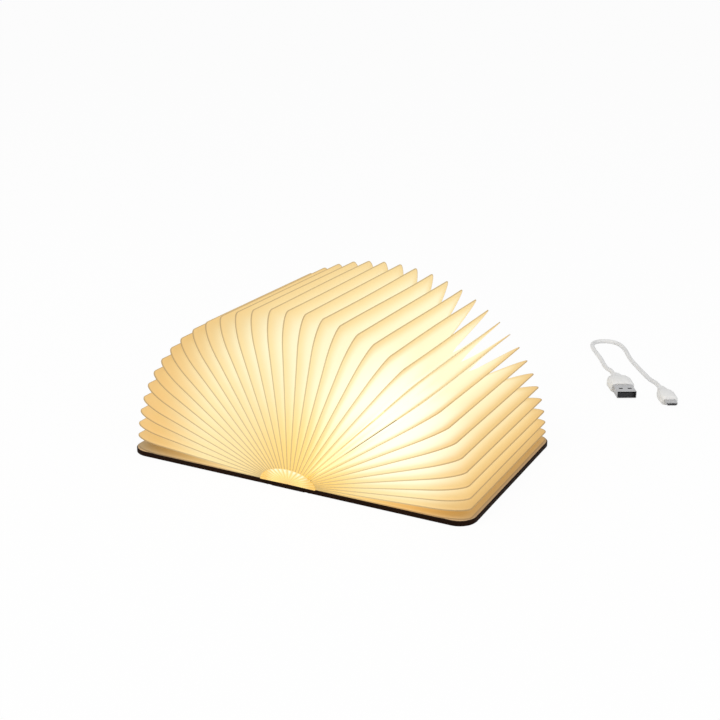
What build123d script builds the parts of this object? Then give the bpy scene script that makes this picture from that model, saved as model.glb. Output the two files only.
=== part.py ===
from build123d import *
from math import atan2, cos, degrees, hypot, radians, sin, tan
import os

os.makedirs("parts", exist_ok=True)

# The book lies open and flat with its spine along Y, the covers out to both
# sides along X, and the paper fan standing over the spine. All sizes in mm.

# Closed book
CLOSED_THICKNESS = 25.0
BOOK_HEIGHT = 122.0
COVER_LENGTH = 88.0
COVER_CORNER = 10.0

# Cover build-up, from the table upwards
WRAP_SKIN = 0.4
BOARD_THICKNESS = 1.9
LINER_SHEET = 0.2
TURN_IN = 9.0
LINER_INSET = 0.6
WRAP_EDGE_ROUND = 0.3

# Flexible grooves between the spine board and the cover boards
GROOVE_WIDTH = 3.2
GROOVE_RISE = 0.25

# Magnets that hold the covers shut or back to back
MAGNET_RADIUS = 5.0
MAGNET_THICKNESS = 1.2
MAGNET_EDGE = 9.0
MAGNET_SIDE = 17.0
MAGNET_FIT = 0.1

# Paper bellows
PLEATS = 34
PAGE_SIDE_MARGIN = 0.5
PAGE_EDGE_MARGIN = 1.7
PAGE_CORNER = 10.0
PLEAT_DEPTH = 24.0
VALLEY_CORNER = 3.0
PAPER = 0.15
BOND_RIM = 1.2
PLEAT_GAP = 0.04
ARC_STEPS = 4
ARM_STEPS = 3

# Where the folds leave the light channel, and how evenly they fan out
ARCH_HALF_WIDTH = 16.0
ARCH_RISE = 7.6
COVER_BUNCHING = 0.095
FAN_LEAN = -4.7

# Light module on the spine
MODULE_SIDE_MARGIN = 0.8
MODULE_END_MARGIN = 1.0
TRAY_FLOOR = 0.8
TRAY_WALL = 1.0
TRAY_LOW = 3.4
TRAY_HIGH = 7.4
TUB_CLEARANCE = 2.5
LEDGE_WIDTH = 0.7
LEDGE_LENGTH = 6.0
MODULE_FIT = 0.15
DIFFUSER_RISE = 4.6
DIFFUSER_WALL = 0.9
DIFFUSER_LIP = 0.9
BATTERY = (13.0, 46.0, 3.8)
BATTERY_ROUND = 1.6
LED_BOARD_THICKNESS = 1.0
LED_SIZE = (3.5, 2.8, 0.8)
LED_COUNT = 8
LED_END_MARGIN = 8.1
CHARGE_BOARD = (13.6, 21.0, 0.8)
CHARGE_BOARD_LIFT = 0.7
CHIP = (5.0, 5.0, 0.9)
SENSOR = (4.2, 3.0, 0.9)
CHIP_SETBACK = 9.0
SENSOR_SETBACK = 2.0

# Micro-B charging socket in the rear end of the tray
SOCKET_WIDTH = 7.6
SOCKET_HEIGHT = 2.5
SOCKET_DEPTH = 5.4
SOCKET_SKIN = 0.3
SOCKET_CHAMFER = 1.0
SOCKET_TONGUE = (3.6, 3.8, 0.6)
SOCKET_FIT = 0.1

# Charging cable, lying on the table beside the lamp
CORD_RADIUS = 1.4
CORD_SIDES = 10
CABLE_PLACE = (112.0, 178.0)
CABLE_DIRECTION = 118.0
GRIP_CHAMFER = 0.6
USB_GRIP = (15.4, 7.6, 13.0)
USB_GRIP_CORNER = 1.8
USB_NECK = (11.0, 6.4, 4.0)
USB_BOOT = (6.6, 5.0, 5.0)
USB_SHELL = (12.0, 4.5, 12.4)
USB_SKIN = 0.32
USB_TONGUE = (11.1, 1.9, 9.4)
USB_WINDOW = (2.2, 2.4)
USB_WINDOW_SETBACK = 5.2
MICRO_GRIP = (10.4, 6.2, 13.0)
MICRO_GRIP_CORNER = 1.5
MICRO_NECK = (8.0, 5.0, 3.5)
MICRO_BOOT = (5.4, 4.6, 5.0)
MICRO_SHELL = (6.8, 1.85, 5.6)
MICRO_SKIN = 0.3
MICRO_CHAMFER = 0.8

# Sizes that follow from the ones above
COVER_THICKNESS = 2 * WRAP_SKIN + BOARD_THICKNESS
BOARD_TOP = WRAP_SKIN + BOARD_THICKNESS
LINER_TOP = COVER_THICKNESS + LINER_SHEET
COVER_START = CLOSED_THICKNESS / 2
COVER_END = COVER_START + COVER_LENGTH
SPINE_HALF = COVER_START - GROOVE_WIDTH
BOOK_HALF = BOOK_HEIGHT / 2
PAGE_LENGTH = COVER_END - PAGE_EDGE_MARGIN - ARCH_HALF_WIDTH
PAGE_HALF = BOOK_HALF - PAGE_SIDE_MARGIN
ARCH_BASE = LINER_TOP + PAPER
MODULE_HALF = SPINE_HALF - MODULE_SIDE_MARGIN
TUB_HALF = PAGE_HALF - PLEAT_DEPTH - TUB_CLEARANCE
LED_PITCH = 2 * (TUB_HALF - LED_END_MARGIN) / (LED_COUNT - 1)
TRAY_BASE = COVER_THICKNESS
TRAY_LOW_TOP = TRAY_BASE + TRAY_LOW
TRAY_TOP = TRAY_BASE + TRAY_HIGH
TRAY_INSIDE = MODULE_HALF - TRAY_WALL
FLOOR_TOP = TRAY_BASE + TRAY_FLOOR
LED_BOARD_BASE = TRAY_TOP - DIFFUSER_LIP - LED_BOARD_THICKNESS - LED_SIZE[2]
TRAY_END = BOOK_HALF - MODULE_END_MARGIN


def block(x_range, y_range, z_range):
    size = [high - low for low, high in (x_range, y_range, z_range)]
    return Pos(x_range[0], y_range[0], z_range[0]) * Box(*size, align=(Align.MIN,) * 3)


def disc(radius, height):
    return Cylinder(radius, height, align=(Align.CENTER, Align.CENTER, Align.MIN))


def mirrored(solid):
    return mirror(solid, about=Plane.YZ)


# Covers: a grey board, its leatherette wrap turned in over three edges, and the
# cream liner that covers the board and most of the turn-in.


def cover_plate(inset, z_low, z_high, start=COVER_START):
    """Flat plate of the right cover's outline, drawn in by inset on its three free edges."""
    length = COVER_END - inset - start
    outline = Rectangle(length, BOOK_HEIGHT - 2 * inset)
    free_corners = outline.vertices().group_by(Axis.X)[-1]
    outline = fillet(free_corners, max(COVER_CORNER - inset, 0.5))
    return Pos(start + length / 2, 0, z_low) * extrude(outline, z_high - z_low)


def magnet_spots():
    x = COVER_END - MAGNET_EDGE
    z = BOARD_TOP - MAGNET_THICKNESS
    return [Pos(x, side * (BOOK_HALF - MAGNET_SIDE), z) for side in (-1, 1)]


def cover_board():
    board = cover_plate(WRAP_SKIN, WRAP_SKIN, BOARD_TOP)
    for spot in magnet_spots():
        board -= spot * disc(MAGNET_RADIUS + MAGNET_FIT, BOARD_THICKNESS)
    return board


def cover_wrap():
    shell = cover_plate(0, 0, COVER_THICKNESS)
    free_edges = [
        edge
        for edge in shell.edges().filter_by(Plane.XY)
        if edge.center().X > COVER_START + 1
    ]
    shell = chamfer(free_edges, WRAP_EDGE_ROUND)
    shell -= cover_plate(WRAP_SKIN, WRAP_SKIN, BOARD_TOP)
    return shell - cover_plate(TURN_IN, BOARD_TOP, COVER_THICKNESS + 1)


def cover_liner():
    infill = cover_plate(TURN_IN, BOARD_TOP, COVER_THICKNESS)
    return infill + cover_plate(LINER_INSET, COVER_THICKNESS, LINER_TOP)


def cover_magnets():
    return Compound([spot * disc(MAGNET_RADIUS, MAGNET_THICKNESS) for spot in magnet_spots()])


# Spine: a board between the grooves, wrapped over its two ends.


def spine_board():
    ends = BOOK_HALF - WRAP_SKIN
    board = block((-SPINE_HALF, SPINE_HALF), (-ends, ends), (WRAP_SKIN, COVER_THICKNESS))
    for side in (-1, 1):
        rebate = sorted((side * (BOOK_HALF - TURN_IN), side * BOOK_HALF))
        board -= block((-SPINE_HALF, SPINE_HALF), rebate, (BOARD_TOP, COVER_THICKNESS))
    return board


def spine_wrap():
    ends = BOOK_HALF - WRAP_SKIN
    middle = BOOK_HALF - TURN_IN
    wrap = block((-SPINE_HALF, SPINE_HALF), (-BOOK_HALF, BOOK_HALF), (0, COVER_THICKNESS))
    wrap -= block((-SPINE_HALF, SPINE_HALF), (-ends, ends), (WRAP_SKIN, BOARD_TOP))
    return wrap - block((-SPINE_HALF, SPINE_HALF), (-middle, middle), (BOARD_TOP, COVER_THICKNESS))


def hinge_strip():
    """Padded leatherette of the right groove, as thick as the covers and pressed up a little."""
    middle = (SPINE_HALF + COVER_START) / 2
    crease = []
    for height in (0, COVER_THICKNESS):
        crease.append(
            ThreePointArc((SPINE_HALF, height), (middle, height + GROOVE_RISE), (COVER_START, height))
        )
    sides = [Line((x, 0), (x, COVER_THICKNESS)) for x in (SPINE_HALF, COVER_START)]
    section = make_face(Curve() + crease + sides)
    return Pos(0, BOOK_HALF, 0) * extrude(Plane.XZ * section, BOOK_HEIGHT)


# Paper bellows: each pouch is two die-cut leaves bonded along their outer rim,
# and its two inner folds meet the folds of the pouches beside it. Steps count
# the rims from the right cover (0) to the left cover (PLEATS); the folds
# between them lie on the half steps.


def fan_angle(step):
    u = 1 - 2 * step / PLEATS
    even = (1 + COVER_BUNCHING) * u - COVER_BUNCHING * u**5
    return radians(90 * (1 - even) + FAN_LEAN * (1 - u * u))


def fan_ray(step):
    """Start point and direction of the ray that a rim or a fold lies on."""
    angle = fan_angle(step)
    root = Vector(ARCH_HALF_WIDTH * cos(angle), 0, ARCH_BASE + ARCH_RISE * sin(angle))
    return root, Vector(cos(angle), 0, sin(angle))


def page_outline(inset, corner):
    """Points (radial, Y) of the U-shaped leaf edge, from the front root round to the rear one."""
    reach = PAGE_LENGTH - inset
    half = PAGE_HALF - inset
    turns = [radians(90 * k / ARC_STEPS) for k in range(ARC_STEPS + 1)]
    arm = [((reach - corner) * k / ARM_STEPS, -half) for k in range(ARM_STEPS)]
    bend = [(reach - corner * (1 - sin(a)), -half + corner * (1 - cos(a))) for a in turns]
    front = arm + bend
    return front + [(r, -y) for r, y in reversed(front)]


def faceted_tube(rings):
    """Solid whose skin runs in flat triangles from each ring of points to the next, with flat ends."""
    faces = [Face(Wire.make_polygon(ring, close=True)) for ring in (rings[0], rings[-1])]
    for near, far in zip(rings, rings[1:]):
        for k in range(len(near)):
            after = (k + 1) % len(near)
            # every third point is on the rim, and each diagonal runs from there out to the fold
            first, second = (k, after) if k % 3 == 0 else (after, k)
            faces.append(Face(Wire.make_polygon([near[first], near[second], far[second]], close=True)))
            faces.append(Face(Wire.make_polygon([near[first], far[second], far[first]], close=True)))
    return Solid(Shell(faces))


def pouch(step, on_cover=0):
    """One pouch of the bellows, or with on_cover the half pouch glued to a cover's liner."""
    root, out = fan_ray(step)
    side = Vector(-out.Z, 0, out.X)

    def fold_offset(fold_step, radial):
        start, along = fan_ray(fold_step)
        run = (radial - (start - root).dot(out)) / along.dot(out)
        return (start - root).dot(side) + run * along.dot(side)

    rings = []
    rims = page_outline(0, PAGE_CORNER)
    folds = page_outline(PLEAT_DEPTH, VALLEY_CORNER)
    for rim, fold in zip(rims, folds):
        reach = hypot(fold[0] - rim[0], fold[1] - rim[1])
        crotch = [a + (b - a) * BOND_RIM / reach for a, b in zip(rim, fold)]
        low = -PAPER if on_cover > 0 else fold_offset(step - 0.5, fold[0]) + PLEAT_GAP / 2
        high = PAPER if on_cover < 0 else fold_offset(step + 0.5, fold[0]) - PLEAT_GAP / 2
        ring = [
            (rim, -PAPER),
            (fold, low),
            (fold, low + PAPER),
            (crotch, 0),
            (fold, high - PAPER),
            (fold, high),
            (rim, PAPER),
        ]
        rings.append([root + out * r + side * w + Vector(0, y, 0) for (r, y), w in ring])
    return faceted_tube(rings)


# Light module: a tray along the spine with a deeper tub in the middle for the
# cell and the lamp board, a frosted cap, and the charging board at the rear.


def module_tray():
    half = MODULE_HALF
    tub = TUB_HALF
    tray = block((-half, half), (-TRAY_END, TRAY_END), (TRAY_BASE, TRAY_LOW_TOP))
    tray += block((-half, half), (-tub, tub), (TRAY_BASE, TRAY_TOP))
    inside = TRAY_END - TRAY_WALL
    tray -= block((-TRAY_INSIDE, TRAY_INSIDE), (-inside, inside), (FLOOR_TOP, TRAY_LOW_TOP))
    tub_inside = tub - TRAY_WALL
    tray -= block((-TRAY_INSIDE, TRAY_INSIDE), (-tub_inside, tub_inside), (FLOOR_TOP, TRAY_TOP))
    for side in (-1, 1):
        for end in (-1, 0, 1):
            x_range = sorted((side * TRAY_INSIDE, side * (TRAY_INSIDE - LEDGE_WIDTH)))
            middle = end * (tub_inside - LEDGE_LENGTH)
            y_range = (middle - LEDGE_LENGTH / 2, middle + LEDGE_LENGTH / 2)
            tray += block(x_range, y_range, (FLOOR_TOP, LED_BOARD_BASE))
    for post in charge_board_posts():
        tray += post
    mouth = SOCKET_WIDTH / 2 + SOCKET_FIT
    tray -= block((-mouth, mouth), (inside, TRAY_END), (FLOOR_TOP, TRAY_LOW_TOP))
    return tray


def charge_board_posts():
    x = CHARGE_BOARD[0] / 2 - 1.2
    near = TRAY_END - TRAY_WALL - MODULE_FIT - CHARGE_BOARD[1]
    low, high = FLOOR_TOP, FLOOR_TOP + CHARGE_BOARD_LIFT
    spots = [(sign * x, near + y) for sign in (-1, 1) for y in (1.5, CHARGE_BOARD[1] - 1.5)]
    return [block((x - 1, x + 1), (y - 1, y + 1), (low, high)) for x, y in spots]


def module_diffuser():
    """Frosted cap with an arched top, closed ends and a lip inside the tub."""
    half = MODULE_HALF
    tub = TUB_HALF

    def arch(shrink, length):
        width = half - shrink
        top = TRAY_TOP + DIFFUSER_RISE - shrink
        shoulder = TRAY_TOP + DIFFUSER_RISE * 0.35
        curve = ThreePointArc((-width, shoulder), (0, top), (width, shoulder))
        lines = Polyline((-width, shoulder), (-width, TRAY_TOP), (width, TRAY_TOP), (width, shoulder))
        section = make_face(Curve() + [curve, lines])
        return Pos(0, length / 2, 0) * extrude(Plane.XZ * section, length)

    cap = arch(0, 2 * TUB_HALF)
    lip_out = TRAY_INSIDE - MODULE_FIT
    lip_end = tub - TRAY_WALL - MODULE_FIT
    cap += block((-lip_out, lip_out), (-lip_end, lip_end), (TRAY_TOP - DIFFUSER_LIP, TRAY_TOP))
    hollow = lip_out - DIFFUSER_WALL
    hollow_end = lip_end - DIFFUSER_WALL
    cap -= block((-hollow, hollow), (-hollow_end, hollow_end), (TRAY_TOP - DIFFUSER_LIP, TRAY_TOP))
    return cap - arch(half - hollow, 2 * hollow_end)


def led_board():
    half = TRAY_INSIDE - MODULE_FIT
    end = TUB_HALF - TRAY_WALL - MODULE_FIT
    base = LED_BOARD_BASE
    return block((-half, half), (-end, end), (base, base + LED_BOARD_THICKNESS))


def leds():
    base = LED_BOARD_BASE + LED_BOARD_THICKNESS
    row = []
    for index in range(LED_COUNT):
        y = (index - (LED_COUNT - 1) / 2) * LED_PITCH
        half_x, half_y = LED_SIZE[0] / 2, LED_SIZE[1] / 2
        row.append(block((-half_x, half_x), (y - half_y, y + half_y), (base, base + LED_SIZE[2])))
    return Compound(row)


def battery_cell():
    width, length, height = BATTERY
    cell = block((-width / 2, width / 2), (-length / 2, length / 2), (FLOOR_TOP, FLOOR_TOP + height))
    return fillet(cell.edges().filter_by(Axis.Y), BATTERY_ROUND)


def charge_board():
    width, length, thickness = CHARGE_BOARD
    far = TRAY_END - TRAY_WALL - MODULE_FIT
    base = FLOOR_TOP + CHARGE_BOARD_LIFT
    top = base + thickness
    board = block((-width / 2, width / 2), (far - length, far), (base, top))
    notch = SOCKET_WIDTH / 2 + SOCKET_FIT
    board -= block((-notch, notch), (TRAY_END - SOCKET_DEPTH - SOCKET_FIT, far), (base, top))
    chip_y = far - length + CHIP_SETBACK
    board += block((-CHIP[0] / 2, CHIP[0] / 2), (chip_y, chip_y + CHIP[1]), (top, top + CHIP[2]))
    sensor_y = far - length + SENSOR_SETBACK
    return board + block(
        (-SENSOR[0] / 2, SENSOR[0] / 2), (sensor_y, sensor_y + SENSOR[1]), (top, top + SENSOR[2])
    )


def chamfered_outline(width, height, chamfer):
    """Flat-topped outline whose two lower corners are cut off, as on a micro-B shell."""
    x, z = width / 2, height / 2
    return make_face(
        Polyline((-x, z), (x, z), (x, -z + chamfer), (x - chamfer, -z), (-x + chamfer, -z), (-x, -z + chamfer), close=True)
    )


def micro_usb_socket():
    outer = chamfered_outline(SOCKET_WIDTH, SOCKET_HEIGHT, SOCKET_CHAMFER)
    inner = chamfered_outline(SOCKET_WIDTH - 2 * SOCKET_SKIN, SOCKET_HEIGHT - 2 * SOCKET_SKIN, SOCKET_CHAMFER)
    shell = extrude(Plane.XZ * outer, SOCKET_DEPTH)
    shell -= extrude(Plane.XZ * inner, SOCKET_DEPTH - SOCKET_SKIN)
    width, length, thickness = SOCKET_TONGUE
    back = -SOCKET_DEPTH + SOCKET_SKIN
    tongue = block((-width / 2, width / 2), (back, back + length), (-thickness / 2, thickness / 2))
    return Pos(0, TRAY_END, FLOOR_TOP + SOCKET_HEIGHT / 2) * (shell + tongue)


# Charging cable: a cord folded once, with a USB-A plug on one end and a micro-B
# plug on the other. Route points are (along, across, height above the table),
# counted from the USB-A plug's boot towards the fold.
USB_LIFT = USB_GRIP[1] / 2
MICRO_LIFT = MICRO_GRIP[1] / 2
CORD_ROUTE = [
    (0.0, -9.0, USB_LIFT),
    (9.0, -9.0, USB_LIFT),
    (22.0, -10.2, CORD_RADIUS),
    (42.0, -9.4, CORD_RADIUS),
    (59.0, -10.6, CORD_RADIUS),
    (72.0, -9.5, CORD_RADIUS),
    (77.6, -3.9, CORD_RADIUS),
    (77.6, 3.9, CORD_RADIUS),
    (72.0, 9.5, CORD_RADIUS),
    (59.0, 11.2, CORD_RADIUS),
    (40.0, 9.8, CORD_RADIUS),
    (18.0, 11.6, CORD_RADIUS),
    (-1.0, 13.2, CORD_RADIUS),
    (-13.0, 15.0, MICRO_LIFT),
    (-22.0, 15.0, MICRO_LIFT),
]


def cable_frame(point):
    """Place of a cable point on the table: along and across are turned to the cable's direction."""
    turn = radians(CABLE_DIRECTION)
    along, across, height = point
    x = CABLE_PLACE[0] + along * cos(turn) + across * sin(turn)
    y = CABLE_PLACE[1] + along * sin(turn) - across * cos(turn)
    return Vector(x, y, height)


def cord_radii(points):
    radii = []
    for before, here, after in zip(points, points[1:], points[2:]):
        first, second = here - before, after - here
        turn = radians(first.get_angle(second))
        radii.append(0.45 * min(first.length, second.length) / tan(turn / 2))
    return radii


def cable_cord():
    points = [cable_frame(point) for point in CORD_ROUTE]
    radii = cord_radii(points)
    path = FilletPolyline(*points, radius=radii)
    print("cord length", round(path.length, 1), "radii", [round(r, 1) for r in radii])
    start = Plane(origin=points[0], z_dir=points[1] - points[0])
    return sweep(start * RegularPolygon(CORD_RADIUS, CORD_SIDES), path=path)


def plug_place(end):
    """Frame of a plug: its X runs from the cord's end out to the plug's mouth."""
    first, second = (CORD_ROUTE[0], CORD_ROUTE[1]) if end == "usb_a" else (CORD_ROUTE[-1], CORD_ROUTE[-2])
    origin, inward = cable_frame(first), cable_frame(second)
    heading = degrees(atan2(origin.Y - inward.Y, origin.X - inward.X))
    return Pos(*origin) * Rot(0, 0, heading)


def overmould(boot, neck, grip, corner):
    """Moulded grip: a tapering boot round the cord, a neck, and the wider gripping block."""

    def slab(x, width, height, round_by):
        return Plane.YZ.offset(x) * RectangleRounded(width, height, round_by)

    tip = CORD_RADIUS * 2 + 0.8
    neck_start = boot[2]
    grip_start = neck_start + neck[2]
    grip_end = grip_start + grip[2]
    body = loft([slab(0, tip, tip, tip / 2 - 0.05), slab(neck_start, boot[0], boot[1], tip / 2 - 0.05)])
    body += extrude(slab(neck_start, neck[0], neck[1], corner), neck[2])
    grip_block = extrude(slab(grip_start, grip[0], grip[1], corner), grip_end - grip_start)
    ends = grip_block.edges().group_by(Axis.X)
    grip_block = chamfer(ends[0] + ends[-1], GRIP_CHAMFER)
    return body + grip_block, grip_end


def usb_a_overmould():
    body, _ = overmould(USB_BOOT, USB_NECK, USB_GRIP, USB_GRIP_CORNER)
    return plug_place("usb_a") * body


def usb_a_shell():
    _, face = overmould(USB_BOOT, USB_NECK, USB_GRIP, USB_GRIP_CORNER)
    width, height, length = USB_SHELL
    outer = Plane.YZ.offset(face) * RectangleRounded(width, height, 0.5)
    inner = Plane.YZ.offset(face) * Rectangle(width - 2 * USB_SKIN, height - 2 * USB_SKIN)
    shell = extrude(outer, length) - extrude(inner, length)
    middle = face + length - USB_WINDOW_SETBACK
    for side in (-1, 1):
        y = side * width / 4.4
        shell -= block(
            (middle - USB_WINDOW[0] / 2, middle + USB_WINDOW[0] / 2),
            (y - USB_WINDOW[1] / 2, y + USB_WINDOW[1] / 2),
            (-height, height),
        )
    return plug_place("usb_a") * shell


def usb_a_tongue():
    _, face = overmould(USB_BOOT, USB_NECK, USB_GRIP, USB_GRIP_CORNER)
    width, height, length = USB_TONGUE
    low = -USB_SHELL[1] / 2 + USB_SKIN
    return plug_place("usb_a") * block((face, face + length), (-width / 2, width / 2), (low, low + height))


def micro_usb_overmould():
    body, _ = overmould(MICRO_BOOT, MICRO_NECK, MICRO_GRIP, MICRO_GRIP_CORNER)
    return plug_place("micro") * body


def micro_usb_shell():
    _, face = overmould(MICRO_BOOT, MICRO_NECK, MICRO_GRIP, MICRO_GRIP_CORNER)
    width, height, length = MICRO_SHELL
    outer = chamfered_outline(width, height, MICRO_CHAMFER)
    inner = chamfered_outline(width - 2 * MICRO_SKIN, height - 2 * MICRO_SKIN, MICRO_CHAMFER)
    start = Plane.YZ.offset(face)
    root = Plane.YZ.offset(face + MICRO_SKIN)
    shell = extrude(start * outer, length) - extrude(root * inner, length)
    return plug_place("micro") * shell


nodes = {
    "spine_board": spine_board(),
    "spine_wrap": spine_wrap(),
    "right_hinge_strip": hinge_strip(),
    "right_cover_board": cover_board(),
    "right_cover_wrap": cover_wrap(),
    "right_cover_liner": cover_liner(),
    "right_magnets": cover_magnets(),
    "module_tray": module_tray(),
    "module_diffuser": module_diffuser(),
    "led_board": led_board(),
    "leds": leds(),
    "battery_cell": battery_cell(),
    "charge_board": charge_board(),
    "micro_usb_socket": micro_usb_socket(),
    "cable_cord": cable_cord(),
    "usb_a_overmould": usb_a_overmould(),
    "usb_a_shell": usb_a_shell(),
    "usb_a_tongue": usb_a_tongue(),
    "micro_usb_overmould": micro_usb_overmould(),
    "micro_usb_shell": micro_usb_shell(),
}
for name in [name for name in nodes if name.startswith("right_")]:
    nodes[name.replace("right_", "left_")] = mirrored(nodes[name])

nodes["right_end_leaf"] = pouch(0, on_cover=1)
nodes["left_end_leaf"] = pouch(PLEATS, on_cover=-1)
for step in range(1, PLEATS):
    nodes[f"petal_{step:02d}"] = pouch(step)

for name, solid in nodes.items():
    export_step(solid, f"parts/{name}.step")
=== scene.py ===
import math

import bpy
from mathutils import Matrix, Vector


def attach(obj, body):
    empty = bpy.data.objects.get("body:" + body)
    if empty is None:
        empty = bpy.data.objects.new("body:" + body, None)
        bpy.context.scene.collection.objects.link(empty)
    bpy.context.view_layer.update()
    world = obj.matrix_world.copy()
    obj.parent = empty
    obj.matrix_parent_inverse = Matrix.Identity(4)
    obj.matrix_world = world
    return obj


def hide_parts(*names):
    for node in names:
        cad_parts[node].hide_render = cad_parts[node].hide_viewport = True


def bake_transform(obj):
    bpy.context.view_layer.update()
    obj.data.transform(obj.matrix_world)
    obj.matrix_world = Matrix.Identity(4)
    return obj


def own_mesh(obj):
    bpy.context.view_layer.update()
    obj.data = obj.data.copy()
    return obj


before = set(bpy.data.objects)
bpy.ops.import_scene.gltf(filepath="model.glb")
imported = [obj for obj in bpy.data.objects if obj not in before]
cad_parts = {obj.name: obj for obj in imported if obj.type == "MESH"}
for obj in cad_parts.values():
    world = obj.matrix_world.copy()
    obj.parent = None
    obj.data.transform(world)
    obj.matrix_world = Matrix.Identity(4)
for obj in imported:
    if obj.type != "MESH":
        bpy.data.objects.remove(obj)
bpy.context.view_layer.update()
print("CAD frame loaded")

mm = 0.001


def deselectAll():
    if bpy.context.object and bpy.context.object.mode != "OBJECT":
        bpy.ops.object.mode_set(mode="OBJECT")
    bpy.ops.object.select_all(action="DESELECT")


def pick(*objects):
    deselectAll()
    for thing in objects:
        thing.select_set(True)
    bpy.context.view_layer.objects.active = objects[0]


def applyModifier(thing, kind, **settings):
    pick(thing)
    modifier = thing.modifiers.new(kind.title(), kind)
    for key, value in settings.items():
        setattr(modifier, key, value)
    bpy.ops.object.modifier_apply(modifier=modifier.name)


def joinInto(name, pieces):
    pick(*pieces)
    bpy.ops.object.join()
    whole = bpy.context.object
    whole.name = name
    whole.data.name = name
    return whole


def smoothShade(thing, degrees):
    pick(thing)
    bpy.ops.object.shade_smooth_by_angle(angle=math.radians(degrees))


def dress(thing, finish):
    thing.data.materials.clear()
    thing.data.materials.append(finish.material)


# A link is one output socket, and sums on links add the Math nodes.
class Link:
    def __init__(self, recipe, socket):
        self.recipe, self.socket = recipe, socket

    def maths(self, operation, first, second=None):
        sockets = {0: first} if second is None else {0: first, 1: second}
        return self.recipe.node("ShaderNodeMath", {"operation": operation}, sockets)

    def __add__(self, other): return self.maths("ADD", self, other)
    def __radd__(self, other): return self.maths("ADD", other, self)
    def __sub__(self, other): return self.maths("SUBTRACT", self, other)
    def __rsub__(self, other): return self.maths("SUBTRACT", other, self)
    def __mul__(self, other): return self.maths("MULTIPLY", self, other)
    def __rmul__(self, other): return self.maths("MULTIPLY", other, self)
    def __truediv__(self, other): return self.maths("DIVIDE", self, other)

    def highest(self, other): return self.maths("MAXIMUM", self, other)
    def root(self): return self.maths("SQRT", self)
    def size(self): return self.maths("ABSOLUTE", self)

    def between(self, low, high, start=0.0, end=1.0):
        smooth = {"interpolation_type": "SMOOTHSTEP"}
        sockets = {0: self, 1: low, 2: high, 3: start, 4: end}
        return self.recipe.node("ShaderNodeMapRange", smooth, sockets)

    def ramp(self, *stops):
        return self.recipe.node("ShaderNodeValToRGB", {"stops": stops}, {0: self})


class Recipe:
    def __init__(self, tree):
        self.tree = tree

    def node(self, kind, settings=None, sockets=None, output=0):
        made = self.tree.nodes.new(kind)
        for key, value in (settings or {}).items():
            if key == "stops":
                while len(made.color_ramp.elements) < len(value):
                    made.color_ramp.elements.new(0.5)
                for element, (place, colour) in zip(made.color_ramp.elements, value):
                    element.position = place
                    element.color = (*colour, 1)
            else:
                setattr(made, key, value)
        for key, value in (sockets or {}).items():
            self.put(made.inputs[key], value)
        return Link(self, made.outputs[output] if made.outputs else None)

    def put(self, socket, value):
        if isinstance(value, Link):
            self.tree.links.new(value.socket, socket)
        else:
            socket.default_value = value


class Finish(Recipe):
    def __init__(self, name, **fixed):
        self.material = bpy.data.materials.new(name)
        self.material.use_nodes = True
        super().__init__(self.material.node_tree)
        self.shader = self.tree.nodes["Principled BSDF"]
        for key, value in fixed.items():
            self.feed(key.replace("_", " "), value)

    def feed(self, socketName, value):
        self.put(self.shader.inputs[socketName], value)

    def place(self):
        point = self.node("ShaderNodeTexCoord", output="Object")
        axes = [self.node("ShaderNodeSeparateXYZ", None, {0: point}, k) for k in range(3)]
        return [point] + axes

    def depthInFold(self):
        sheet = self.node("ShaderNodeTexCoord", output="UV")
        return self.node("ShaderNodeSeparateXYZ", None, {0: sheet}, 1)

    def noise(self, point, scale, detail=2.0, rough=0.5):
        sockets = {"Vector": point, "Scale": scale, "Detail": detail, "Roughness": rough}
        return self.node("ShaderNodeTexNoise", None, sockets, "Fac")

    def pebbles(self, point, scale):
        sockets = {"Vector": point, "Scale": scale}
        return self.node("ShaderNodeTexVoronoi", None, sockets, "Distance")

    def mixColour(self, share, first, second):
        sockets = {0: share}
        for place, value in ((6, first), (7, second)):
            sockets[place] = (*value, 1) if isinstance(value, tuple) else value
        return self.node("ShaderNodeMix", {"data_type": "RGBA"}, sockets, 2)

    def bump(self, height, distance, strength=1.0):
        sockets = {"Strength": strength, "Distance": distance, "Height": height}
        self.feed("Normal", self.node("ShaderNodeBump", None, sockets, "Normal"))


view = {
    "place": (0.2905, -0.5470, 0.2655),
    "pitch": 19.20,
    "turn": 27.26,
    "lens": 60.45,
    "sensor": 36,
    "shift": (0.0039, 0.0035),
}


def makeCamera():
    data = bpy.data.cameras.new("camera")
    data.lens = view["lens"]
    data.sensor_width = view["sensor"]
    data.shift_x, data.shift_y = view["shift"]
    camera = bpy.data.objects.new("camera", data)
    bpy.context.scene.collection.objects.link(camera)
    camera.location = view["place"]
    camera.rotation_euler = (math.radians(90 - view["pitch"]), 0, math.radians(view["turn"]))
    bpy.context.scene.camera = camera


studio = {
    "floorSize": 40.0,
    "floorColour": (0.93, 0.93, 0.93, 1),
    "plainWhite": 0.95,      # how far the floor that the camera sees is plain white
    "sky": 0.60,
    "keyPower": 8.0,
    "keyPlace": (-0.55, -0.75, 1.15),
    "keySize": 0.9,
    "fillPower": 4.0,
    "fillPlace": (0.95, -0.35, 0.75),
    "fillSize": 0.8,
    "aim": (0, 0, 0.03),
}


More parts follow.
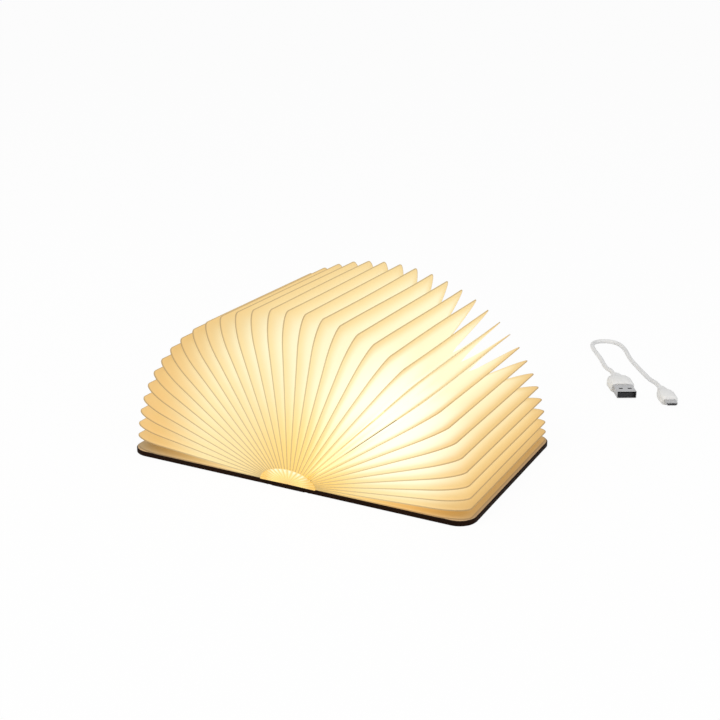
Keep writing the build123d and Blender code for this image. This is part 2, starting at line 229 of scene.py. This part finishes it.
def makeFloor():
    deselectAll()
    bpy.ops.mesh.primitive_plane_add(size=studio["floorSize"], location=(0, 0, 0))
    floor = bpy.context.object
    floor.name = "floor"
    material = bpy.data.materials.new("floorWhite")
    material.use_nodes = True
    material.node_tree.nodes.clear()
    recipe = Recipe(material.node_tree)
    paint = recipe.node("ShaderNodeBsdfDiffuse", None, {"Color": studio["floorColour"]})
    white = recipe.node("ShaderNodeEmission", None, {"Strength": 1.0})
    seen = recipe.node("ShaderNodeLightPath", output="Is Camera Ray") * studio["plainWhite"]
    mix = recipe.node("ShaderNodeMixShader", None, {0: seen, 1: paint, 2: white})
    recipe.node("ShaderNodeOutputMaterial", None, {"Surface": mix})
    floor.data.materials.append(material)


def makeSky():
    world = bpy.context.scene.world or bpy.data.worlds.new("studio")
    bpy.context.scene.world = world
    world.use_nodes = True
    world.node_tree.nodes.clear()
    recipe = Recipe(world.node_tree)
    air = recipe.node("ShaderNodeBackground", None, {"Strength": studio["sky"]})
    white = recipe.node("ShaderNodeBackground", None, {"Strength": 1.0})
    camera = recipe.node("ShaderNodeLightPath", output="Is Camera Ray")
    glossy = recipe.node("ShaderNodeLightPath", output="Is Glossy Ray")
    seen = camera.highest(glossy)
    mix = recipe.node("ShaderNodeMixShader", None, {0: seen, 1: air, 2: white})
    recipe.node("ShaderNodeOutputWorld", None, {"Surface": mix})


def makeLamp(name, power, place, size):
    data = bpy.data.lights.new(name, "AREA")
    data.energy = power
    data.size = size
    lamp = bpy.data.objects.new(name, data)
    bpy.context.scene.collection.objects.link(lamp)
    lamp.location = place
    aim = Vector(studio["aim"]) - Vector(place)
    lamp.rotation_euler = aim.to_track_quat("-Z", "Y").to_euler()


makeCamera()
makeFloor()
makeSky()
makeLamp("keyLamp", studio["keyPower"], studio["keyPlace"], studio["keySize"])
makeLamp("fillLamp", studio["fillPower"], studio["fillPlace"], studio["fillSize"])
bpy.context.scene.view_settings.view_transform = "Standard"
print("camera, floor and light ready")


surfaceGrain = 0.00002       # height of the fine grain of plastic and paper


def darker(colour, share):
    return tuple(c * share for c in colour)


def softPlastic(name, colour, rough, grain):
    finish = Finish(name, IOR=1.46)
    point = finish.place()[0]
    speck = finish.noise(point, grain, 3.0)
    finish.feed("Base Color", speck.ramp((0.3, darker(colour, 0.95)), (0.7, colour)))
    finish.feed("Roughness", speck.between(0.3, 0.7, rough - 0.06, rough + 0.06))
    finish.bump(speck, surfaceGrain)
    return finish


def brightMetal(name, colour, rough):
    finish = Finish(name, Metallic=1.0)
    point = finish.place()[0]
    smear = finish.noise(point, 260, 4.0)
    finish.feed("Base Color", smear.ramp((0.25, darker(colour, 0.84)), (0.75, colour)))
    finish.feed("Roughness", smear.between(0.3, 0.7, rough - 0.07, rough + 0.09))
    return finish


cableSheath = softPlastic("cableSheath", (0.84, 0.84, 0.84), 0.42, 900)
plugPlastic = softPlastic("plugPlastic", (0.86, 0.86, 0.855), 0.38, 1400)
insertPlastic = softPlastic("insertPlastic", (0.035, 0.035, 0.04), 0.45, 1400)
shellMetal = brightMetal("nickelShell", (0.60, 0.60, 0.61), 0.24)


# The cord's route runs from the large plug round the loop to the small plug:
# along the cable, across it, and height, in millimetres.
cable = {
    "place": (112.0, 178.0),
    "direction": 118.0,
    "radius": 1.4,
    "roundness": 5,          # bevel steps round the cord
    "fineness": 10,          # steps along it
    "usbLift": 3.8,
    "microLift": 3.1,
    "length": 0.1885,
}
resting = cable["radius"]
cordRoute = [
    (0.0, -9.0, cable["usbLift"]),
    (9.0, -9.0, cable["usbLift"]),
    (22.0, -10.2, resting),
    (42.0, -9.4, resting),
    (59.0, -10.6, resting),
    (72.0, -9.5, resting),
    (77.6, -3.9, resting),
    (77.6, 3.9, resting),
    (72.0, 9.5, resting),
    (59.0, 11.2, resting),
    (40.0, 9.8, resting),
    (18.0, 11.6, resting),
    (-1.0, 13.2, resting),
    (-13.0, 15.0, cable["microLift"]),
    (-22.0, 15.0, cable["microLift"]),
]


def onTable(point):
    turn = math.radians(cable["direction"])
    along, across, height = point
    x = cable["place"][0] + along * math.cos(turn) + across * math.sin(turn)
    y = cable["place"][1] + along * math.sin(turn) - across * math.cos(turn)
    return Vector((x, y, height)) * mm


def makeCord():
    curve = bpy.data.curves.new("chargingCord", "CURVE")
    curve.dimensions = "3D"
    curve.bevel_depth = cable["radius"] * mm
    curve.bevel_resolution = cable["roundness"]
    curve.resolution_u = cable["fineness"]
    curve.use_fill_caps = True
    spline = curve.splines.new("NURBS")
    spline.points.add(len(cordRoute) - 1)
    for point, place in zip(spline.points, cordRoute):
        point.co = (*onTable(place), 1)
    spline.order_u = 3
    spline.use_endpoint_u = True
    curve.materials.append(cableSheath.material)
    cord = bpy.data.objects.new("chargingCord", curve)
    bpy.context.scene.collection.objects.link(cord)
    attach(cord, "charging_cable")
    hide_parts("cable_cord")
    return cord


# Each section of a grip: width, height, and distance back from its front end, in millimetres.
gripShape = {
    "sides": 28,
    "squareness": 3.4,       # 2 is an oval, more is squarer
    "smoothAngle": 55,
}
usbGrip = {
    "front": -22.0,
    "across": -9.0,
    "lift": 3.8,
    "sections": (
        (13.6, 5.9, 0.0), (15.2, 7.4, 1.2), (15.4, 7.6, 9.5), (13.4, 7.2, 13.2),
        (8.4, 6.0, 15.2), (7.2, 5.5, 18.0), (5.6, 4.7, 21.2), (4.6, 4.2, 22.0)),
}
microGrip = {
    "front": -43.5,
    "across": 15.0,
    "lift": 3.1,
    "sections": (
        (8.8, 4.6, 0.0), (10.2, 6.0, 1.0), (10.4, 6.2, 9.5), (9.2, 5.7, 13.0),
        (6.4, 4.8, 14.8), (5.8, 4.5, 17.4), (4.6, 4.0, 20.8), (3.9, 3.7, 21.5)),
}


def makeGrip(name, grip, node):
    deselectAll()
    bpy.ops.mesh.primitive_circle_add(vertices=gripShape["sides"], radius=1, fill_type="NGON")
    body = bpy.context.object
    body.name = name
    bpy.ops.object.mode_set(mode="EDIT")
    bpy.ops.mesh.select_all(action="SELECT")
    for section in grip["sections"][1:]:
        bpy.ops.mesh.extrude_region_move(TRANSFORM_OT_translate={"value": (0, 0, 1)})
    bpy.ops.object.mode_set(mode="OBJECT")
    for vertex in body.data.vertices:
        width, height, along = grip["sections"][round(vertex.co.z)]
        turn = math.atan2(vertex.co.y, vertex.co.x)
        power = gripShape["squareness"]
        fullness = (abs(math.cos(turn)) ** power + abs(math.sin(turn)) ** power) ** (-1 / power)
        side = math.cos(turn) * fullness * width / 2
        rise = math.sin(turn) * fullness * height / 2
        vertex.co = onTable((grip["front"] + along, grip["across"] + side, grip["lift"] + rise))
    pick(body)
    bpy.ops.object.mode_set(mode="EDIT")
    bpy.ops.mesh.select_all(action="SELECT")
    bpy.ops.mesh.normals_make_consistent(inside=False)
    bpy.ops.object.mode_set(mode="OBJECT")
    smoothShade(body, gripShape["smoothAngle"])
    dress(body, plugPlastic)
    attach(body, "charging_cable")
    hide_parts(node)
    return body


cord = makeCord()
for node in ("usb_a_shell", "micro_usb_shell"):
    dress(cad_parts[node], shellMetal)
dress(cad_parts["usb_a_tongue"], insertPlastic)
plugs = [
    makeGrip("usbGrip", usbGrip, "usb_a_overmould"),
    makeGrip("microGrip", microGrip, "micro_usb_overmould"),
]
plugs += [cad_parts[node] for node in ("usb_a_shell", "usb_a_tongue", "micro_usb_shell")]
tuple(onTable(cordRoute[0]))
print("charging cable ready")


hide = {
    "dark": (0.0080, 0.0024, 0.0007),
    "light": (0.020, 0.0070, 0.0024),
    "pebble": 1500,
    "pebbleDepth": 0.00010,
}
liner = {
    "paper": ((0.3, (0.46, 0.33, 0.18)), (0.7, (0.54, 0.39, 0.22))),
    "reach": 0.1,
    # painted light from the module on the lining, strongest by the hub
    "glow": (                # from the hub out to the free edge
        (0.10, (0.80, 0.46, 0.07)), (0.42, (0.66, 0.41, 0.13)), (0.75, (0.38, 0.23, 0.10)),
        (0.97, (0.10, 0.065, 0.035))),
}


def leatherette():
    finish = Finish("leatherette", IOR=1.45, Specular_IOR_Level=0.06)
    point = finish.place()[0]
    grain = finish.pebbles(point, hide["pebble"])
    cloud = finish.noise(point, 55, 4.0, 0.6)
    height = grain.between(0.0, 0.6) + 0.35 * finish.noise(point, 3200, 2.0)
    tone = 0.55 * cloud + 0.45 * grain
    finish.feed("Base Color", tone.ramp((0.3, hide["dark"]), (0.75, hide["light"])))
    finish.feed("Roughness", cloud.between(0.3, 0.7, 0.46, 0.62))
    finish.bump(height, hide["pebbleDepth"], 0.7)
    return finish


def liningPaper():
    finish = Finish("liningPaper", Roughness=0.75)
    point, x, y, z = finish.place()
    fibre = finish.noise(point, 1800, 4.0, 0.65)
    finish.feed("Base Color", fibre.ramp(*liner["paper"]))
    # Painted light: the lining glows in emission with the module's light, strongest by the hub and
    # dimming out to the free edge.
    finish.feed("Emission Color", (x.size() / liner["reach"]).ramp(*liner["glow"]))
    finish.feed("Emission Strength", 1.0)
    finish.bump(fibre, surfaceGrain)
    return finish


def greyBoard():
    finish = Finish("greyBoard", Roughness=0.9)
    point = finish.place()[0]
    fleck = finish.noise(point, 900, 5.0, 0.7)
    finish.feed("Base Color", fleck.ramp((0.3, (0.20, 0.19, 0.17)), (0.7, (0.33, 0.31, 0.28))))
    finish.bump(fleck, 0.00006)
    return finish


leather = leatherette()
lining = liningPaper()
board = greyBoard()
for side in ("right", "left"):
    dress(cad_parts[f"{side}_cover_wrap"], leather)
    dress(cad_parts[f"{side}_cover_liner"], lining)
    dress(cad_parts[f"{side}_cover_board"], board)
    dress(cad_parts[f"{side}_magnets"], shellMetal)
dress(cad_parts["spine_wrap"], leather)
dress(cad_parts["spine_board"], board)
print("covers and spine dressed")


def glowingPlastic(name, colour, light, strength):
    finish = Finish(name, Roughness=0.45, Emission_Strength=strength)
    point = finish.place()[0]
    haze = finish.noise(point, 420, 3.0)
    finish.feed("Base Color", haze.ramp((0.3, darker(colour, 0.96)), (0.7, colour)))
    finish.feed("Emission Color", haze.ramp((0.3, darker(light, 0.9)), (0.7, light)))
    return finish


# The tray's glow is painted light from the LEDs it holds.
trayPaintedGlow = glowingPlastic("trayPaintedGlow", (0.62, 0.50, 0.24), (0.72, 0.42, 0.07), 0.8)
frostedCap = glowingPlastic("frostedCap", (0.80, 0.72, 0.50), (1.0, 0.80, 0.40), 1.6)
phosphor = glowingPlastic("phosphor", (0.90, 0.72, 0.30), (1.0, 0.84, 0.48), 5.0)
solderMask = softPlastic("solderMask", (0.02, 0.12, 0.05), 0.35, 700)
pouchFoil = brightMetal("pouchFoil", (0.55, 0.56, 0.58), 0.38)
for node, finish in (
    ("module_tray", trayPaintedGlow),
    ("module_diffuser", frostedCap),
    ("leds", phosphor),
    ("led_board", solderMask),
    ("charge_board", solderMask),
    ("battery_cell", pouchFoil),
    ("micro_usb_socket", shellMetal),
):
    dress(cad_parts[node], finish)
print("light module dressed")


# Padded leatherette in the groove between the spine and each cover.
groove = {
    "start": 9.3,
    "end": 12.5,
    "halfLength": 61.0,
    "thickness": 2.7,
    "rise": 0.25,
    "steps": 12,
    "lengthSteps": 40,
    "smoothAngle": 40,
}


def makeGroove(side):
    deselectAll()
    bpy.ops.mesh.primitive_grid_add(
        x_subdivisions=groove["steps"], y_subdivisions=groove["lengthSteps"], size=2)
    strip = bpy.context.object
    strip.name = f"{side}GrooveLeather"
    hand = 1 if side == "right" else -1
    for vertex in strip.data.vertices:
        share = (vertex.co.x + 1) / 2
        x = groove["start"] + (groove["end"] - groove["start"]) * share
        z = groove["rise"] * math.sin(math.pi * share)
        vertex.co = Vector((hand * x, vertex.co.y * groove["halfLength"], z)) * mm
    if hand < 0:
        strip.data.flip_normals()
    applyModifier(strip, "SOLIDIFY", thickness=groove["thickness"] * mm, offset=1.0)
    smoothShade(strip, groove["smoothAngle"])
    dress(strip, leather)
    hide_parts(f"{side}_hinge_strip")
    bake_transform(strip)


makeGroove("right")
makeGroove("left")
print("groove leather ready")


# The fan of pouches, in millimetres, as the solids have it.
fan = {
    "pleats": 34,
    "length": 82.8,
    "half": 60.8,
    "corner": (18.0, 7.0),   # along the arm, along the fore edge
    "depth": 24.0,
    "foldCorner": (9.0, 4.0),
    "paper": 0.15,
    "glueLine": 0.09,        # the two leaves of a pouch are glued into each other at the rim
    "overlap": 0.02,
    "tuck": 1.5,             # how far the arms run in behind the end pleats
    "archWidth": 16.0,
    "archRise": 7.6,
    "archBase": 3.05,
    "bunching": 0.095,
    "lean": -4.7,
    "armSteps": 14,
    "bendSteps": 9,
    "edgeSteps": 8,
    "deepSteps": 8,
    "flute": 0.55,           # 0 is a straight fold, 1 a round one
    "sway": 0.35,            # sideways waver of a rim
    "edgeWaver": (0.045, 1.7),  # per millimetre along the fore edge, and per pouch
    "armWaver": (0.04, 0.9),
    "againstCover": 0.9,     # gap of a glued leaf, in thicknesses of paper
    "smoothAngle": 50,
    "squash": 0.09,          # the share of its thickness left when the book is shut
}


def fanAngle(step):
    u = 1 - 2 * step / fan["pleats"]
    even = (1 + fan["bunching"]) * u - fan["bunching"] * u**5
    return math.radians(90 * (1 - even) + fan["lean"] * (1 - u * u))


def fanRay(step):
    angle = fanAngle(step)
    start = Vector((
        fan["archWidth"] * math.cos(angle), 0, fan["archBase"] + fan["archRise"] * math.sin(angle)))
    return start, Vector((math.cos(angle), 0, math.sin(angle)))


def pageStations(inset, corner, tuck):
    reach, half = fan["length"] - inset, fan["half"] - inset
    before, after = corner
    points = []
    for k in range(fan["armSteps"]):
        points.append(((reach - before + tuck) * k / fan["armSteps"] - tuck, -half))
    for k in range(fan["bendSteps"]):
        turn = math.pi / 2 * k / fan["bendSteps"]
        points.append((reach - before * (1 - math.sin(turn)), -half + after * (1 - math.cos(turn))))
    for k in range(fan["edgeSteps"] + 1):
        points.append((reach, (half - after) * (2 * k / fan["edgeSteps"] - 1)))
    return points + [(r, -y) for r, y in reversed(points[:-fan["edgeSteps"] - 1])]


def waverAt(radial, y, step):
    perEdge, edgeStep = fan["edgeWaver"]
    perArm, armStep = fan["armWaver"]
    return math.sin(y * perEdge + step * edgeStep) * math.sin(radial * perArm + step * armStep)


def makeLeaf(step, hand, flat):
    root, out = fanRay(step)
    side = Vector((-out.z, 0, out.x))
    start, along = fanRay(step + hand * 0.5)
    tuck = fan["tuck"] * math.sqrt(abs(out.z))
    rimLine = pageStations(0, fan["corner"], tuck)
    foldLine = pageStations(fan["depth"], fan["foldCorner"], tuck)
    deselectAll()
    bpy.ops.mesh.primitive_grid_add(
        x_subdivisions=len(rimLine) - 1, y_subdivisions=fan["deepSteps"], size=2)
    leaf = bpy.context.object
    for vertex in leaf.data.vertices:
        station = round((vertex.co.x + 1) / 2 * (len(rimLine) - 1))
        share = (vertex.co.y + 1) / 2
        rim, fold = rimLine[station], foldLine[station]
        arc = share * math.pi / 2
        deep = (1 - fan["flute"]) * share + fan["flute"] * math.sin(arc)
        wide = (1 - fan["flute"]) * share + fan["flute"] * (1 - math.cos(arc))
        radial = rim[0] + (fold[0] - rim[0]) * deep
        y = rim[1] + (fold[1] - rim[1]) * deep
        if flat:
            offset = hand * fan["paper"] * fan["againstCover"]
        else:
            run = (fold[0] - (start - root).dot(out)) / along.dot(out)
            reach = (start - root).dot(side) + run * along.dot(side)
            outer = max(0, rim[0] / fan["length"])
            swayed = fan["sway"] * waverAt(rim[0], rim[1], step) * outer * out.z
            rimOffset = hand * fan["glueLine"] + swayed
            offset = rimOffset + (reach + hand * fan["overlap"] - rimOffset) * wide
        vertex.co = (root + out * radial + side * offset + Vector((0, y, 0))) * mm
    if hand > 0:
        leaf.data.flip_normals()
    applyModifier(leaf, "SOLIDIFY", thickness=fan["paper"] * mm, offset=-1.0)
    return leaf


def makePouch(step, node, body, flatHand=0):
    leaves = [makeLeaf(step, hand, hand == flatHand) for hand in (-1, 1)]
    pouch = joinInto("pouch" + node.title().replace("_", ""), leaves)
    smoothShade(pouch, fan["smoothAngle"])
    dress(pouch, litPaper)
    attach(pouch, body)
    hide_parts(node)
    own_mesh(pouch)


# Paper lit from inside, the light painted as emission: orange at the rims, cream down in the folds,
# yellow by the module.
glow = {
    "base": (0.40, 0.31, 0.185),
    "ridge": (0.30, 0.235, 0.15),
    "lightLine": (0.008, 0.0105),
    "lightHalf": 0.033,
    "reach": 0.1,            # distance from the light that counts as 1
    "flatten": 0.85,         # height counts for a little less than width
    "foldShare": (0.03, 0.36),
    "nearToMid": (0.18, 0.50),
    "midToFar": (0.62, 0.98),
    "nearRim": (0.64, 0.44, 0.11),
    "nearDeep": (0.70, 0.66, 0.34),
    "midRim": (0.61, 0.52, 0.27),
    "midDeep": (0.64, 0.66, 0.50),
    "farRim": (0.50, 0.31, 0.09),
    "farDeep": (0.55, 0.41, 0.18),
    # painted amber light on the upright leaves close to the hub
    "byHub": (0.66, 0.38, 0.02),
    # a painted pool of near-white light in the folds in front of the module
    "frontPatch": (0.050, -0.046, 0.040),
    "patchReach": 0.050,
    "patchColour": (0.80, 0.82, 0.76),
    "rimWidth": (0.003, 0.020),
    "rimShade": (0.10, 0.06, 0.02),
    # painted light on the leaves lying flat by the covers, dim at each cover's outer end
    "byCover": (
        (0.025, (0.08, 0.055, 0.02)), (0.20, (0.28, 0.15, 0.035)), (0.36, (0.48, 0.22, 0.04)),
        (0.62, (0.62, 0.33, 0.01)), (0.85, (0.46, 0.22, 0.03)), (0.97, (0.26, 0.14, 0.03))),
}


def makeLitPaper():
    finish = Finish("litPaper", Roughness=0.7, Emission_Strength=1.0)
    point, x, y, z = finish.place()
    depth = finish.depthInFold()
    lift = z - glow["lightLine"][1]
    beyond = (y.size() - glow["lightHalf"]).highest(0.0)
    aside = x - glow["lightLine"][0]
    far = (aside * aside + glow["flatten"] * lift * lift + beyond * beyond).root() / glow["reach"]
    rising = z / (x * x + z * z + 0.00002).root()
    fibre = finish.noise(point, 1300, 4.0, 0.7)
    cloud = finish.noise(point, 60, 2.0)
    # Painted light: deeper in a fold the paper glows paler, and at the rim more orange.
    inFold = (depth + 0.06 * cloud).between(*glow["foldShare"])
    near = finish.mixColour(inFold, glow["nearRim"], glow["nearDeep"])
    mid = finish.mixColour(inFold, glow["midRim"], glow["midDeep"])
    outer = finish.mixColour(inFold, glow["farRim"], glow["farDeep"])
    lit = finish.mixColour(far.between(*glow["nearToMid"]), near, mid)
    lit = finish.mixColour(far.between(*glow["midToFar"]), lit, outer)
    # A painted pool of near-white light in the folds in front of the module.
    px, py, pz = glow["frontPatch"]
    dx, dy, dz = x - px, y - py, z - pz
    fromPatch = (dx * dx + dy * dy + dz * dz).root()
    patch = fromPatch.between(0.0, glow["patchReach"], 0.9, 0.0) * inFold
    lit = finish.mixColour(patch, lit, glow["patchColour"])
    # Leaves lying flat by the covers take painted light that dims towards each cover's outer end.
    clear = rising.between(0.03, 0.12).highest(far.between(0.20, 0.50, 0.5, 0.0))
    acrossCovers = x / (2 * glow["reach"]) + 0.5
    lit = finish.mixColour(clear, acrossCovers.ramp(*glow["byCover"]), lit)
    # A painted amber glow on the upright leaves close to the hub.
    amber = rising.between(0.08, 0.55, 0.75, 0.0) * far.between(0.12, 0.42, 1.0, 0.0)
    lit = finish.mixColour(amber, lit, glow["byHub"])
    rim = depth.between(*glow["rimWidth"])
    dim = finish.mixColour(far.between(0.5, 1.0, 0.60, 0.35), glow["rimShade"], lit)
    paper = fibre.ramp((0.3, darker(glow["base"], 0.95)), (0.7, glow["base"]))
    finish.feed("Base Color", finish.mixColour(rim, glow["ridge"], paper))
    finish.feed("Emission Color", finish.mixColour(rim, dim, lit))
    finish.bump(fibre, surfaceGrain)
    return finish


litPaper = makeLitPaper()
makePouch(0, "right_end_leaf", "right_cover", flatHand=-1)
makePouch(fan["pleats"], "left_end_leaf", "left_cover", flatHand=1)
for step in range(1, fan["pleats"]):
    node = f"petal_{step:02d}"
    makePouch(step, node, node)
print("paper bellows ready")


# Fine pleats that close the front end of the arch over the light module, in millimetres.
endPleats = {
    "pleats": 17,
    "rings": 5,
    "hubHole": 0.012,
    "halfWidth": 16.3,
    "low": 2.75,
    "rise": 8.0,
    "front": -61.30,
    "wave": 0.3,
    "middle": (              # from the hub out to the rim of the arch
        (0.10, (0.66, 0.42, 0.15)), (0.50, (0.70, 0.58, 0.20)), (0.72, (0.74, 0.68, 0.34)),
        (0.92, (0.78, 0.76, 0.56))),
    "flank": (0.60, 0.33, 0.04),
    "valley": (0.62, 0.38, 0.05),
    "squash": 0.55,          # the share of its width left when the book is shut
}


def makeEndPaper():
    finish = Finish("endPaper", Roughness=0.7, Emission_Strength=1.0)
    point, x, y, z = finish.place()
    fibre = finish.noise(point, 1300, 4.0, 0.7)
    outward = finish.depthInFold()
    crest = (endPleats["front"] * mm - y) / (endPleats["wave"] * mm)
    # Painted light from the module: pale up the middle of the arch, orange on the flanks and in the
    # valleys of the pleats.
    middle = outward.ramp(*endPleats["middle"])
    lit = finish.mixColour((x.size() / mm).between(7.0, 14.0), middle, endPleats["flank"])
    lit = finish.mixColour(crest.between(-1.0, 1.0, 0.85, 0.0), lit, endPleats["valley"])
    finish.feed("Base Color", fibre.ramp((0.3, (0.40, 0.30, 0.16)), (0.7, (0.43, 0.33, 0.18))))
    finish.feed("Emission Color", lit)
    finish.bump(fibre, surfaceGrain)
    return finish


def makeEndPleats():
    deselectAll()
    bpy.ops.mesh.primitive_grid_add(
        x_subdivisions=2 * endPleats["pleats"], y_subdivisions=endPleats["rings"], size=2)
    cap = bpy.context.object
    cap.name = "moduleEndPleats"
    for vertex in cap.data.vertices:
        column = round((vertex.co.x + 1) * endPleats["pleats"])
        share = endPleats["hubHole"] + (1 - endPleats["hubHole"]) * (vertex.co.y + 1) / 2
        turn = math.pi * column / (2 * endPleats["pleats"])
        x = endPleats["halfWidth"] * math.cos(turn) * share
        z = endPleats["low"] + endPleats["rise"] * math.sin(turn) * share
        wave = endPleats["wave"] * (1 if column % 2 else -1) * share
        vertex.co = Vector((x, endPleats["front"] + wave, z)) * mm
    if cap.data.polygons[0].normal.y > 0:
        cap.data.flip_normals()
    applyModifier(cap, "SOLIDIFY", thickness=fan["paper"] * mm, offset=-1.0)
    dress(cap, makeEndPaper())
    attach(cap, "spine")
    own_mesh(cap)


makeEndPleats()
print("end pleats ready")
